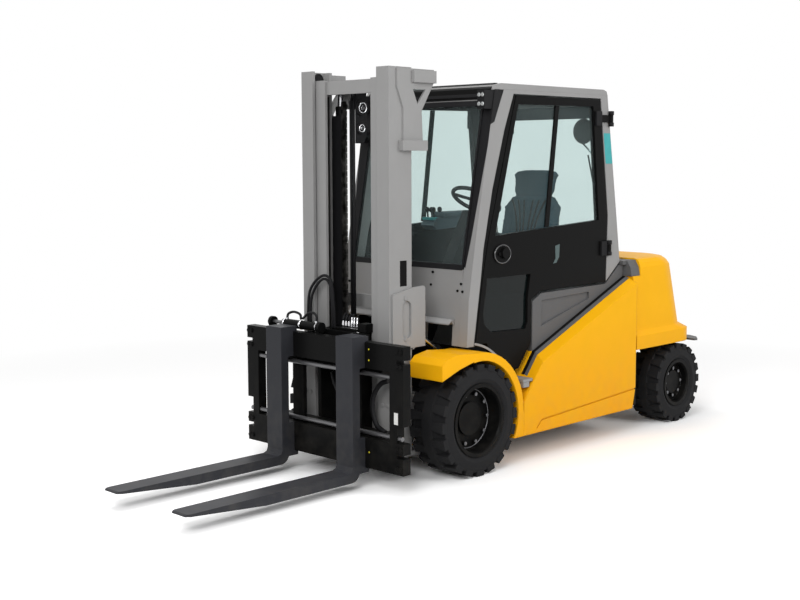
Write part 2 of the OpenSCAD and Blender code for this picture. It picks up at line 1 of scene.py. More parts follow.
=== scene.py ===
# %% [markdown]
# # A counterbalance forklift, dressed in Blender
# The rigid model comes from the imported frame: every CAD piece is already in place, in metres, with forward along -Y.
# This lesson adds what the solids leave out: finishes, chain links, upholstery, hoses, bolts and small trim.

# %% Load the frame
import json
import math

import bmesh
import bpy
import numpy as np
from mathutils import Matrix, Vector


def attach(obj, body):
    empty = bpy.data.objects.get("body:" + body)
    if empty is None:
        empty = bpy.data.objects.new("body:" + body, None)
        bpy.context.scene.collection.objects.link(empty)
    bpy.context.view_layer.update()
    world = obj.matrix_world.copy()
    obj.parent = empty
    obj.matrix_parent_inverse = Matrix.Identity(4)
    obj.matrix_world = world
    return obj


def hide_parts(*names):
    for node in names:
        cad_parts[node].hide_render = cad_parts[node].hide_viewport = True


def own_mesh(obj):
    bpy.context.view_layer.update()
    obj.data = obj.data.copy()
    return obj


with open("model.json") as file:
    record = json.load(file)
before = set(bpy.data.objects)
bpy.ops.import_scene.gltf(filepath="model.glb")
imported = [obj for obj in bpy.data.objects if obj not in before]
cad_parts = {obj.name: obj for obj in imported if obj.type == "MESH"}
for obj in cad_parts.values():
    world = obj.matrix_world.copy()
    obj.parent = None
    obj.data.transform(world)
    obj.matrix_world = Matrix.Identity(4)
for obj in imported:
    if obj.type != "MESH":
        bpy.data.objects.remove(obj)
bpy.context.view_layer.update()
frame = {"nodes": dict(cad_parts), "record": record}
nodes = frame["nodes"]
MM = 0.001

# %% [markdown]
# ## Camera
# The photograph was taken from in front and to the driver's left, a little above the bonnet line. A real camera has a
# place, a direction and a focal length, so those are written as measured sizes, not as a fit by eye.

# %% Camera
IMAGE_W = 800
SENSOR = 36.0
focal_px = 1233.6
camera_place = (5.613, -6.027, 1.968)
camera_pitch, camera_roll, camera_yaw = 6.29, 0.13, 44.23
shift_px = (6.3, 5.4)

camera_data = bpy.data.cameras.new("photo_camera")
camera_data.sensor_width = SENSOR
camera_data.lens = focal_px / IMAGE_W * SENSOR
camera_data.shift_x = -shift_px[0] / IMAGE_W
camera_data.shift_y = -shift_px[1] / IMAGE_W
camera = bpy.data.objects.new("photo_camera", camera_data)
camera.location = camera_place
camera.rotation_euler = [math.radians(a) for a in (90 - camera_pitch, camera_roll, camera_yaw)]
scene = bpy.context.scene
scene.collection.objects.link(camera)
scene.camera = camera
scene.view_settings.view_transform = "Standard"
print("camera lens", round(camera_data.lens, 1), "mm")

# %% [markdown]
# ## Shader sums as Python
# A material is a small graph of nodes. Writing `near_floor * dust` in Python and letting a class add the Math node
# keeps the recipe readable: `Wire` holds one socket, `Graph` adds nodes to a tree, and `Finish` holds one material.

# %% Wire and Graph
class Wire:
    """One output socket that can be used in sums."""

    def __init__(self, graph, socket):
        self.graph, self.socket = graph, socket

    def sum(self, operation, other):
        return self.graph.node("ShaderNodeMath", {"operation": operation}, {0: self, 1: other})

    def __add__(self, other):
        return self.sum("ADD", other)

    def __mul__(self, other):
        return self.sum("MULTIPLY", other)

    __radd__ = __add__


class Graph:
    """A node tree with short ways to add nodes."""

    def __init__(self, tree):
        self.tree = tree

    def node(self, kind, settings=None, sockets=None, out=0):
        made = self.tree.nodes.new(kind)
        for key, value in (settings or {}).items():
            setattr(made, key, value)
        for key, value in (sockets or {}).items():
            self.join(made.inputs[key], value)
        return Wire(self, made.outputs[out])

    def join(self, socket, value):
        if isinstance(value, Wire):
            self.tree.links.new(value.socket, socket)
        else:
            socket.default_value = value

    def place(self):
        return self.node("ShaderNodeTexCoord", out="Object")

    def axis(self, name):
        return self.node("ShaderNodeSeparateXYZ", None, {0: self.place()}, out=name)

    def noise(self, scale, detail=4):
        return self.node("ShaderNodeTexNoise", None, {"Vector": self.place(), "Scale": scale, "Detail": detail})

    def ramp(self, value, low, high):
        return self.node("ShaderNodeMapRange", {"clamp": True}, {"Value": value, "From Min": low, "From Max": high})

    def seen(self):
        """One for what is looked at, also in gloss and through glass; nought for rays that only gather light."""
        kinds = ("Camera", "Glossy", "Transmission")
        rays = [self.node("ShaderNodeLightPath", out=f"Is {kind} Ray") for kind in kinds]
        return self.ramp(rays[0] + rays[1] + rays[2], 0.0, 1.0)


print("shader tools:", Wire.__name__, Graph.__name__)

# %% [markdown]
# Every material starts from one Principled shader. `mix` and `bump` vary its colour and its surface, and `blend` mixes
# it with a second shader.

# %% Finish
class Finish(Graph):
    """A material with one Principled shader."""

    def __init__(self, name, color, roughness, **constants):
        self.material = bpy.data.materials.new(name)
        self.material.use_nodes = True
        self.material.diffuse_color = (*color, 1)
        super().__init__(self.material.node_tree)
        self.shader = next(n for n in self.tree.nodes if n.type == "BSDF_PRINCIPLED")
        self.set("Base Color", (*color, 1))
        self.set("Roughness", roughness)
        for key, value in constants.items():
            self.set(key.replace("_", " "), value)

    def set(self, name, value):
        self.join(self.shader.inputs[name], value)

    def inside(self, low, high):
        """One within a box in space, nought outside it."""
        share = 1.0
        for name, start, end in zip("XYZ", low, high):
            place = self.axis(name)
            share = self.ramp(place, start, start + MM) * self.ramp(place, end, end - MM) * share
        return share

    def mix(self, share, first, second):
        def shade(value):
            return value if isinstance(value, Wire) else (*value, 1)
        return self.node("ShaderNodeMix", {"data_type": "RGBA"},
                         {"Factor": share, 6: shade(first), 7: shade(second)}, out=2)

    def bump(self, value, strength, depth, edge=0.0):
        sockets = {"Height": value, "Strength": strength, "Distance": depth}
        if edge:
            sockets["Normal"] = self.node("ShaderNodeBevel", {"samples": 4}, {"Radius": edge})
        self.set("Normal", self.node("ShaderNodeBump", None, sockets))

    def blend(self, share, first=None, second=None):
        """Mix two shaders on the way out; the one that isn't given is the Principled shader."""
        own = Wire(self, self.shader.outputs[0])
        mixed = self.node("ShaderNodeMixShader", None, {0: share, 1: first or own, 2: second or own})
        output = next(n for n in self.tree.nodes if n.type == "OUTPUT_MATERIAL")
        self.join(output.inputs["Surface"], mixed)


print("material tool:", Finish.__name__)

# %% [markdown]
# ## Finishes
# Paint on a work truck is even from a step away, but it has fine orange peel, dust that gathers near the floor and a
# roughness that changes a little. The yellow also has painted shade, darker and more orange towards the floor. Each
# paint is the same recipe with other colours, so one function makes them all.
# The inner mast is silver too, with painted shade inside its channels, where the rollers run.

# %% Paints
DUST = (0.20, 0.18, 0.15)
# Colour of the painted shade inside the inner mast's channels.
CHANNEL_SHADE = (0.045, 0.043, 0.040)
SILVER = (0.278, 0.276, 0.274)
# The box inside the inner mast's channels that gets the painted shade.
SHADED_CHANNELS = ((-0.3395, -0.7615, 0.0), (0.3395, -0.6675, 2.36))


def paint(name, color, roughness, dust, edge=0.004, sheen=0.3, low_shade=0.0, shade_inside=None):
    finish = Finish(name, color, roughness, Specular_IOR_Level=sheen)
    patches = finish.ramp(finish.noise(6.0), 0.35, 0.75)
    near_floor = finish.ramp(finish.axis("Z"), 0.75, 0.05)
    grime = near_floor * finish.ramp(finish.noise(14.0, 6), 0.40, 0.75) * dust
    # Painted shade: the colour grows darker and more orange towards the floor.
    painted_low_shade = finish.ramp(finish.axis("Z"), 0.9, 0.15) * low_shade
    coloured = finish.mix(painted_low_shade, color, (color[0] * 0.93, color[1] * 0.78, color[2]))
    coloured = finish.mix(patches * 0.6, coloured, tuple(c * 0.93 for c in color))
    coloured = finish.mix(grime, coloured, DUST)
    # Painted shade: a dark colour fills the inside of the inner mast's channels.
    if shade_inside:
        coloured = finish.mix(finish.inside(*shade_inside) * 0.9, coloured, CHANNEL_SHADE)
    finish.set("Base Color", coloured)
    finish.set("Roughness", roughness + patches * 0.05 + grime * 0.4)
    orange_peel = finish.noise(420.0, 2)
    finish.bump(orange_peel, 0.05, 0.0004, edge)
    return finish.material


# The yellow has painted shade that deepens towards the floor.
yellow = paint("yellow_paint", (0.90, 0.445, 0.002), 0.40, dust=0.10, edge=0.010, sheen=0.12, low_shade=0.9)
silver = paint("silver_paint", SILVER, 0.40, dust=0.2)
shaded_silver = paint("shaded_silver", SILVER, 0.40, dust=0.2, shade_inside=SHADED_CHANNELS)
grey = paint("grey_paint", (0.105, 0.105, 0.107), 0.45, dust=0.25, sheen=0.2)
black = paint("black_paint", (0.005, 0.005, 0.005), 0.33, dust=0.06, sheen=0.05)
slate = paint("fork_paint", (0.030, 0.031, 0.036), 0.40, dust=0.12, edge=0.006, sheen=0.12)
print("paints:", yellow.name, silver.name, shaded_silver.name, grey.name, black.name, slate.name)

# %% [markdown]
# Oil, dust and grain set the other hard surfaces apart: each has its own noise in colour, gloss or bump.

# %% Metal, rubber and plastic
def chrome_finish():
    finish = Finish("chrome_rod", (0.72, 0.72, 0.74), 0.12, Metallic=1.0)
    finish.set("Roughness", 0.10 + finish.noise(40.0) * 0.10)
    return finish.material


def chain_finish():
    finish = Finish("oiled_chain", (0.05, 0.048, 0.045), 0.38, Metallic=0.9)
    grease = finish.ramp(finish.noise(30.0), 0.35, 0.7)
    finish.set("Base Color", finish.mix(grease, (0.03, 0.028, 0.026), (0.11, 0.105, 0.10)))
    finish.set("Roughness", 0.30 + grease * 0.3)
    return finish.material


def rubber_finish():
    finish = Finish("tyre_rubber", (0.018, 0.018, 0.019), 0.78, Specular_IOR_Level=0.12)
    dusty = finish.ramp(finish.noise(9.0, 6), 0.40, 0.75)
    finish.set("Base Color", finish.mix(dusty * 0.6, (0.012, 0.012, 0.013), (0.024, 0.024, 0.024)))
    finish.set("Roughness", 0.70 + dusty * 0.2)
    finish.bump(finish.noise(260.0, 3), 0.25, 0.0008, 0.004)
    return finish.material


def plastic_finish():
    finish = Finish("grained_plastic", (0.010, 0.010, 0.011), 0.50, Specular_IOR_Level=0.12)
    grain = finish.node("ShaderNodeTexVoronoi", None, {"Vector": finish.place(), "Scale": 700.0})
    finish.set("Roughness", 0.50 + finish.noise(12.0) * 0.14)
    finish.bump(grain, 0.25, 0.0004, 0.004)
    return finish.material


chrome, chain, rubber, plastic = chrome_finish(), chain_finish(), rubber_finish(), plastic_finish()
print("hard and black:", chrome.name, chain.name, rubber.name, plastic.name)

# %% [markdown]
# Window glass is mostly a transparent shader with a faint tint. The seat's cloth is two waves that cross.

# %% Glass and cloth
LOW_PANE_TOP = 1.25


def glass_finish(name, gloss):
    """Clear glass that is nearly black in the low panes of the doors."""
    pale, dark = (0.55, 0.65, 0.65), (0.004, 0.007, 0.007)
    finish = Finish(name, pale, 0.04, Specular_IOR_Level=gloss)
    smears = finish.ramp(finish.noise(3.0, 5), 0.45, 0.8)
    low = finish.ramp(finish.axis("Z"), LOW_PANE_TOP, LOW_PANE_TOP - 0.01)
    finish.set("Base Color", finish.mix(low, pale, dark))
    finish.set("Roughness", 0.03 + smears * 0.05)
    clear = finish.node("ShaderNodeBsdfTransparent", None, {"Color": (0.89, 0.935, 0.93, 1)})
    finish.blend(0.04 + smears * 0.02 + low * 0.78, first=clear)
    return finish.material


def cloth_finish():
    finish = Finish("seat_cloth", (0.045, 0.085, 0.105), 0.9, Specular_IOR_Level=0.2)
    warp, weft = [finish.node("ShaderNodeTexWave", {"bands_direction": way}, {"Vector": finish.place(), "Scale": 300.0})
                  for way in "XZ"]
    weave = warp * weft
    finish.set("Base Color", finish.mix(weave, (0.034, 0.078, 0.105), (0.060, 0.128, 0.172)))
    finish.bump(weave, 0.4, 0.0006)
    return finish.material


glass, door_glass, cloth = glass_finish("tinted_glass", 0.5), glass_finish("door_glass", 0.25), cloth_finish()
print("glass and cloth:", glass.name, door_glass.name, cloth.name)

# %% [markdown]
# Small trim needs many colours but only one recipe.

# %% Small trim
def trim_finish(name, color, roughness, **constants):
    """Small trim: one colour with faint clouds, fine grain and worn gloss."""
    finish = Finish(name, color, roughness, **constants)
    clouds = finish.ramp(finish.noise(25.0, 5), 0.35, 0.75)
    finish.set("Base Color", finish.mix(clouds * 0.5, color, tuple(c * 0.8 for c in color)))
    finish.set("Roughness", roughness + clouds * 0.08)
    finish.bump(finish.noise(600.0, 2), 0.08, 0.0003, 0.001)
    return finish.material


slate_plastic = trim_finish("slate_plastic", (0.075, 0.110, 0.130), 0.5, Specular_IOR_Level=0.3)
nipple = trim_finish("nipple_yellow", (0.72, 0.62, 0.02), 0.4)
nut_steel = trim_finish("nut_steel", (0.20, 0.20, 0.21), 0.35, Metallic=0.7)
dull_rod = trim_finish("dull_rod", (0.16, 0.16, 0.165), 0.3, Metallic=0.8)
white_plate = trim_finish("white_plate", (0.75, 0.75, 0.73), 0.5)
lining_cloth = trim_finish("lining", (0.030, 0.042, 0.046), 0.6, Specular_IOR_Level=0.2)
lens_glass = trim_finish("lamp_lens", (0.70, 0.72, 0.72), 0.12, Metallic=0.6)
blue_glass = trim_finish("blue_lens", (0.22, 0.22, 0.48), 0.08, Specular_IOR_Level=0.8)
dark_gloss = trim_finish("dark_gloss", (0.03, 0.03, 0.032), 0.15, Specular_IOR_Level=0.8)
teal_plate = trim_finish("teal_plate", (0.03, 0.35, 0.36), 0.4)
pale_plate = trim_finish("pale_plate", (0.05, 0.085, 0.085), 0.3)
print("finishes in all:", len(bpy.data.materials))

# %% [markdown]
# ## Paint the CAD pieces
# The solids keep their shape and only take a finish. The record says which slot each piece belongs to, and a few
# pieces have a finish of their own.

# %% Finishes on the solids
slot_finish = {
    "yellow_paint": yellow, "silver_paint": silver, "grey_paint": grey, "black_paint": black, "fork_steel": slate,
    "chrome": chrome, "chain_steel": chain, "tyre_rubber": rubber, "glass": glass, "black_plastic": plastic,
    "seat_cloth": cloth,
}
own_finish = {
    "roof_panel": silver, "mast_inner": shaded_silver, "armrest": slate_plastic, "positioner_rods": dull_rod,
    "door_left_glass": door_glass, "door_right_glass": door_glass,
}
for part in frame["record"]["subparts"]:
    piece = nodes[part["node"]]
    piece.data.materials.clear()
    piece.data.materials.append(own_finish.get(part["node"], slot_finish[part["material_slot"]]))

# %% [markdown]
# ## Small tools for meshes
# Sizes below are in millimetres, measured from the front axle as in the CAD source, and `at()` turns them into the
# frame's metres. `add_piece()` hands a mesh to the frame, and `tell()` prints what a cell has made.

# %% Places, sides and pieces
FRONT_AXLE = -325
SIDES = (1, -1)
NAMED_SIDES = ((1, "left"), (-1, "right"))
added = []


def at(x, y, z):
    return Vector((x, y + FRONT_AXLE, z)) * MM


def span(side, near, far):
    """Two places along X on one side of the truck, the lower one first."""
    return sorted((side * near, side * far))


def full_turn(count):
    return [2 * math.pi * i / count for i in range(count)]


def add_piece(name, mesh, body):
    piece = bpy.data.objects.new(name, mesh)
    scene.collection.objects.link(piece)
    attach(piece, body)
    added.append(name)
    return piece


def tell(what):
    """Print the pieces that were added since the last call."""
    print(what + ":", ", ".join(added))
    added.clear()


print("front axle at", FRONT_AXLE, "mm")

# %% [markdown]
# `Shape` collects boxes, rods, tubes and outlines in one mesh, and `fit()` makes it a piece.

# %% Shape
CURVE_STEPS = 8


class Shape:
    """One mesh made of simple forms, placed in millimetres."""

    def __init__(self, name):
        self.name, self.mesh = name, bmesh.new()

    def box(self, x, y, z, soft=0):
        low, high = at(x[0], y[0], z[0]), at(x[1], y[1], z[1])
        shape = Matrix.Translation((low + high) / 2) @ Matrix.Diagonal((*(high - low), 1))
        corners = bmesh.ops.create_cube(self.mesh, size=1, matrix=shape)["verts"]
        if soft:
            edges = {e for v in corners for e in v.link_edges}
            bmesh.ops.bevel(self.mesh, geom=list(edges), offset=soft * MM, segments=2, profile=0.6, affect="EDGES")

    def rod(self, start, end, r, r_end=None, sides=24):
        a, b = at(*start), at(*end)
        turn = (b - a).to_track_quat("Z", "Y").to_matrix().to_4x4()
        made = bmesh.ops.create_cone(
            self.mesh, cap_ends=True, segments=sides, radius1=r * MM, radius2=(r if r_end is None else r_end) * MM,
            depth=(b - a).length, matrix=Matrix.Translation((a + b) / 2) @ turn)
        for face in {f for v in made["verts"] for f in v.link_faces}:
            face.smooth = len(face.verts) == 4 and sides > 8

    def ball(self, centre, r, stretch=(1, 1, 1)):
        shape = Matrix.Translation(at(*centre)) @ Matrix.Diagonal((*stretch, 1))
        made = bmesh.ops.create_uvsphere(self.mesh, u_segments=24, v_segments=12, radius=r * MM, matrix=shape)
        for face in {f for v in made["verts"] for f in v.link_faces}:
            face.smooth = True

    def sweep(self, path, r, sides=12, closed=False):
        """A round tube along a path that is smoothed between its points."""
        spots = [at(*p) for p in path]
        count = len(spots)
        line = []
        for i in range(count if closed else count - 1):
            if closed:
                p0, p1, p2, p3 = (spots[(i + k) % count] for k in (-1, 0, 1, 2))
            else:
                p0, p1, p2, p3 = spots[max(i - 1, 0)], spots[i], spots[i + 1], spots[min(i + 2, count - 1)]
            for k in range(CURVE_STEPS):
                t = k / CURVE_STEPS
                line.append(0.5 * (2 * p1 + (p2 - p0) * t + (2 * p0 - 5 * p1 + 4 * p2 - p3) * t * t
                                   + (3 * p1 - p0 - 3 * p2 + p3) * t ** 3))
        if not closed:
            line.append(spots[-1])
        rings = []
        side = None
        for i, spot in enumerate(line):
            ahead = line[(i + 1) % len(line)] if closed or i + 1 < len(line) else spot
            behind = line[i - 1] if closed or i else spot
            along = (ahead - behind).normalized()
            side = along.orthogonal() if side is None else side - along * side.dot(along)
            side.normalize()
            across = along.cross(side)
            rings.append([self.mesh.verts.new(spot + (side * math.cos(a) + across * math.sin(a)) * r * MM)
                          for a in full_turn(sides)])
        pairs = list(zip(rings, rings[1:])) + ([(rings[-1], rings[0])] if closed else [])
        for one, two in pairs:
            for k in range(sides):
                self.mesh.faces.new((one[k], one[k - 1], two[k - 1], two[k])).smooth = True
        if not closed:
            self.mesh.faces.new(rings[0])
            self.mesh.faces.new(rings[-1][::-1])

    def loop(self, centre, big, small, flat=1.0):
        """A ring about X; `flat` is its height as a share of its length."""
        x, y, z = centre
        path = [(x, y + big * math.cos(a), z + big * flat * math.sin(a)) for a in full_turn(12)]
        self.sweep(path, small, sides=10, closed=True)

    def plate(self, outline, x):
        """A side outline in Y and Z, thick between two places along X."""
        self.prism(outline, lambda p, h: (h, p[0], p[1]), x)

    def front(self, outline, y):
        """A front outline in X and Z, thick between two places along Y."""
        self.prism(outline, lambda p, h: (p[0], h, p[1]), y)

    def leaning(self, outline, y_low, y_high, s):
        """A thin front outline that leans back from its foot to its head."""
        foot, head = outline[0][1], outline[-1][1]
        slope = (y_high - y_low) / (head - foot)
        mirrored = [(s * x, z) for x, z in outline]
        self.prism(mirrored, lambda p, h: (p[0], h + y_low + slope * (p[1] - foot), p[1]), (0, 3))

    def prism(self, outline, spot, ends):
        """An outline at two ends; `spot` says where a corner lies at an end."""
        self.solid(*[[spot(p, end) for p in outline] for end in ends])

    def solid(self, low, high):
        """A body between two outlines with the same number of corners."""
        low, high = [[self.mesh.verts.new(at(*p)) for p in ring] for ring in (low, high)]
        self.mesh.faces.new(low[::-1])
        self.mesh.faces.new(high)
        for i in range(len(low)):
            self.mesh.faces.new((low[i - 1], low[i], high[i], high[i - 1]))

    def fit(self, material, body):
        bmesh.ops.recalc_face_normals(self.mesh, faces=self.mesh.faces)
        data = bpy.data.meshes.new(self.name)
        self.mesh.to_mesh(data)
        self.mesh.free()
        data.materials.append(material)
        return add_piece(self.name, data, body)


print("mesh tool:", Shape.__name__)

# %% [markdown]
# ## Repeats by Geometry Nodes
# A chain is one link, many times. `Recipe` is a node group with named inputs; `make()` runs it once and keeps the
# result as a plain mesh, so nothing is left to compute later.

# %% Recipe
class Recipe:
    """A Geometry Nodes group with named inputs that is run once."""

    KINDS = {int: "NodeSocketInt", float: "NodeSocketFloat", bpy.types.Material: "NodeSocketMaterial"}

    def __init__(self, name, **inputs):
        self.tree = bpy.data.node_groups.new(name, "GeometryNodeTree")
        faces = self.tree.interface
        faces.new_socket("Geometry", in_out="INPUT", socket_type="NodeSocketGeometry")
        self.keys = {}
        for key, value in inputs.items():
            made = faces.new_socket(key, in_out="INPUT", socket_type=self.KINDS[type(value)])
            made.default_value = value
            self.keys[key] = made.identifier
        faces.new_socket("Geometry", in_out="OUTPUT", socket_type="NodeSocketGeometry")
        self.source = self.tree.nodes.new("NodeGroupInput")
        self.target = self.tree.nodes.new("NodeGroupOutput")

    def __getitem__(self, key):
        return self.source.outputs[key]

    def add(self, kind, sockets, settings=None):
        made = self.tree.nodes.new(kind)
        for key, value in (settings or {}).items():
            setattr(made, key, value)
        for key, value in sockets.items():
            for one in value if isinstance(value, list) else [value]:
                if isinstance(one, bpy.types.NodeSocket):
                    self.tree.links.new(one, made.inputs[key])
                else:
                    made.inputs[key].default_value = one
        return made.outputs[0]

    def times(self, first, second):
        return self.add("ShaderNodeMath", {0: first, 1: second}, {"operation": "MULTIPLY"})

    def vector(self, x=0.0, y=0.0, z=0.0):
        return self.add("ShaderNodeCombineXYZ", {"X": x, "Y": y, "Z": z})

    def move(self, geometry, x=0.0, y=0.0, z=0.0):
        return self.add("GeometryNodeTransform", {"Geometry": geometry, "Translation": self.vector(x, y, z)})

    def end(self, geometry, material):
        solid = self.add("GeometryNodeRealizeInstances", {"Geometry": geometry})
        painted = self.add("GeometryNodeSetMaterial", {"Geometry": solid, "Material": material})
        self.tree.links.new(painted, self.target.inputs[0])

    def make(self, name, body, slot, seed=None, **values):
        data = seed or bpy.data.meshes.new(name + "_seed")
        holder = bpy.data.objects.new(name + "_seed", data)
        scene.collection.objects.link(holder)
        modifier = holder.modifiers.new("recipe", "NODES")
        modifier.node_group = self.tree
        for key, value in values.items():
            modifier[self.keys[key]] = value
        view = bpy.context.evaluated_depsgraph_get()
        mesh = bpy.data.meshes.new_from_object(holder.evaluated_get(view), depsgraph=view)
        bpy.data.objects.remove(holder)
        mesh.name = name
        return add_piece(name, mesh, body)


print("node tool:", Recipe.__name__)

# %% [markdown]
# ## Lift chains
# A leaf chain is rows of plates on pins. Rows of three plates and rows of two take turns, so one unit is two pitches
# long.

# %% Leaf chains
CHAIN_X, CHAIN_Y, CHAIN_FOOT, CHAIN_TOP = 180, -316.2, 905, 2329


def chain_recipe():
    recipe = Recipe("leaf_chain", pitch=0.019, plate=0.006, depth=0.019, units=37, material=chain)
    pitch, plate = recipe["pitch"], recipe["plate"]
    tall = recipe.times(pitch, 1.85)
    one = recipe.add("GeometryNodeMeshCube", {"Size": recipe.vector(plate, recipe["depth"], tall)})
    plates = []
    for row, spread in ((0.5, (-2.6, 0.0, 2.6)), (1.5, (-1.3, 1.3))):
        up = recipe.times(pitch, row)
        plates += [recipe.move(one, recipe.times(plate, step), 0.0, up) for step in spread]
    pin = recipe.add("GeometryNodeMeshCylinder", {"Vertices": 12, "Radius": 0.0045, "Depth": 0.039})
    across = recipe.add("GeometryNodeTransform", {"Geometry": pin, "Rotation": (0.0, math.pi / 2, 0.0)})
    pins = [recipe.move(across, 0.0, 0.0, recipe.times(pitch, row)) for row in (0.0, 1.0)]
    unit = recipe.add("GeometryNodeJoinGeometry", {0: plates + pins})
    step = recipe.vector(0.0, 0.0, recipe.times(pitch, 2.0))
    first = tuple(at(-CHAIN_X, CHAIN_Y, CHAIN_FOOT + 9))
    line = recipe.add("GeometryNodeMeshLine", {"Count": recipe["units"], "Start Location": first, "Offset": step})
    strand = recipe.add("GeometryNodeInstanceOnPoints", {"Points": line, "Instance": unit})
    pair = recipe.add("GeometryNodeMeshLine", {"Count": 2, "Offset": (2 * CHAIN_X * MM, 0.0, 0.0)})
    both = recipe.add("GeometryNodeInstanceOnPoints", {"Points": pair, "Instance": strand})
    recipe.end(both, recipe["material"])
    return recipe


links = chain_recipe().make("chain_links", "mast_inner", "chain_steel")
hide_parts("lift_chains")
tuple(at(0, CHAIN_Y, CHAIN_TOP))
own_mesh(links)
tell("chains")

# %% [markdown]
# ## Bolts and grease nipples
# Screw heads are points with a direction. One recipe puts a hexagon head and a washer on every point of a list, and
# wheel nuts and grease nipples come from it too.

# %% Bolt heads
def bolt_recipe():
    recipe = Recipe("bolt_heads", radius=0.012, height=0.008, turn_x=0.0, turn_y=0.0, material=black)
    radius, height = recipe["radius"], recipe["height"]
    head = recipe.add("GeometryNodeMeshCylinder", {"Vertices": 6, "Radius": radius, "Depth": height})
    wide, thin = recipe.times(radius, 1.45), recipe.times(height, 0.35)
    washer = recipe.add("GeometryNodeMeshCylinder", {"Vertices": 20, "Radius": wide, "Depth": thin})
    bolt = recipe.add("GeometryNodeJoinGeometry", {0: [head, washer]})
    turn = recipe.vector(recipe["turn_x"], recipe["turn_y"], 0.0)
    placed = recipe.add("GeometryNodeInstanceOnPoints",
                        {"Points": recipe["Geometry"], "Instance": bolt, "Rotation": turn})
    recipe.end(placed, recipe["material"])
    return recipe


bolt_heads = bolt_recipe()


def bolts(name, spots, facing, body, slot, material, radius, height):
    """Heads on a list of places that face along "x" or "y"."""
    seed = bpy.data.meshes.new(name + "_spots")
    seed.from_pydata([at(*s) for s in spots], [], [])
    turn_x = math.pi / 2 if facing == "y" else 0.0
    turn_y = math.pi / 2 if facing == "x" else 0.0
    return bolt_heads.make(name, body, slot, seed, radius=radius * MM, height=height * MM,
                           turn_x=turn_x, turn_y=turn_y, material=material)


print("bolt recipe:", len(bolt_heads.keys), "inputs")

# %% [markdown]
# ## Mast details
# Between the channels run two hydraulic hoses beside the chains, over small pulleys at the top. Black guards stand
# beside the chains, and the sheaves get their bearing caps.

# %% Hoses in the mast
HOSES_X = (-118, -92)
SHEAVE_Y, SHEAVE_Z = -254, 2330
PULLEY_Y = -262
IDLERS = ((-272, 2286, 50), (-280, 2158, 36))
IDLER_FACE = -54


def mast_hoses():
    hoses = Shape("mast_hoses")
    for x in HOSES_X:
        hoses.rod((x, CHAIN_Y, CHAIN_FOOT + 45), (x, CHAIN_Y, CHAIN_TOP), 9, sides=14)
    piece = hoses.fit(plastic, "mast_inner")
    tuple(at(0, CHAIN_Y, CHAIN_TOP))
    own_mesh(piece)
    guards = Shape("chain_guards")
    for s in SIDES:
        guards.box(span(s, 202, 296), (-318, -310), (700, 2240), soft=2)
    guards.fit(plastic, "mast_outer")


def sheave_caps():
    caps = Shape("sheave_caps")
    for s in SIDES:
        for x in (CHAIN_X - 35, CHAIN_X + 34):
            for start, end, r in ((0, 7, 22), (-3, 10, 12)):
                caps.rod((s * (x + start), SHEAVE_Y, SHEAVE_Z), (s * (x + end), SHEAVE_Y, SHEAVE_Z), r)
    caps.fit(chrome, "mast_inner")


def hose_pulleys():
    pulleys = Shape("hose_pulleys")
    for x in HOSES_X:
        pulleys.loop((x, PULLEY_Y, CHAIN_TOP), 46, 9)
        pulleys.rod((x - 8, PULLEY_Y, CHAIN_TOP), (x + 8, PULLEY_Y, CHAIN_TOP), 40)
    pulleys.rod((-150, PULLEY_Y, CHAIN_TOP), (-78, PULLEY_Y, CHAIN_TOP), 10)
    pulleys.box((-150, -144), (-284, -240), (CHAIN_TOP - 20, 2404))
    pulleys.plate([(-316, 2404), (-226, 2404), (-226, 2120), (-250, 2064), (-316, 2064)], (-78, -68))
    for y, z, r in IDLERS:
        pulleys.rod((IDLER_FACE - 15, y, z), (IDLER_FACE, y, z), r)
    pulleys.loop((-320, -405, 2466), 32, 8)
    pulleys.rod((-326, -405, 2466), (-314, -405, 2466), 26)
    pulleys.fit(plastic, "mast_inner")
    hubs = Shape("pulley_hubs")
    for y, z, r in IDLERS:
        hubs.loop((IDLER_FACE, y, z), r * 0.62, 4)
        hubs.rod((IDLER_FACE - 1, y, z), (IDLER_FACE + 5, y, z), r * 0.3)
    hubs.fit(chrome, "mast_inner")


mast_hoses()
sheave_caps()
hose_pulleys()
tell("in the mast")

# %% [markdown]
# The side shifter and the mast get the bolts and grease nipples that a mechanic looks for.

# %% Bolts on the shifter and the mast
SHIFTER_FACE = -700
ends = [(s * x, SHIFTER_FACE - 4, z) for s in SIDES for x in (668, 694) for z in (165, 280, 768, 858)]
bolts("shifter_bolts", ends, "y", "side_shifter", "black_paint", black, 11, 10)
nipples = [(s * 430, SHIFTER_FACE + 0.4, z) for s in SIDES for z in (785, 850, 230)]
bolts("shifter_nipples", nipples, "y", "side_shifter", "yellow_paint", nipple, 6, 1.2)
braces = [(s * x, -489, 470) for s in SIDES for x in (330, 372)]
bolts("brace_bolts", braces, "y", "mast_outer", "silver_paint", silver, 10, 6)
brackets = [(s * 405, -360, z) for s in SIDES for z in (870, 1120)]
bolts("bracket_bolts", brackets, "x", "mast_outer", "silver_paint", silver, 11, 6)
tell("bolts")

# %% [markdown]
# The nuts turn with their wheel, so they ride on the wheel's body. Each row of the table gives the axle, the outer face
# of the nuts, the axle's place in Y and Z, the number of nuts, and the radii of the nuts and of the bright ring. The
# bright ring is a painted highlight on the rim's edge.

# %% Wheel nuts and rim highlights
FRONT_WHEEL_Z, REAR_WHEEL_Y, REAR_WHEEL_Z = 353, 2260, 295
WHEEL_NUTS = (
    ("front", 619, 0, FRONT_WHEEL_Z, 10, 158, 187),
    ("rear", 658, REAR_WHEEL_Y, REAR_WHEEL_Z, 8, 102, 148),
)


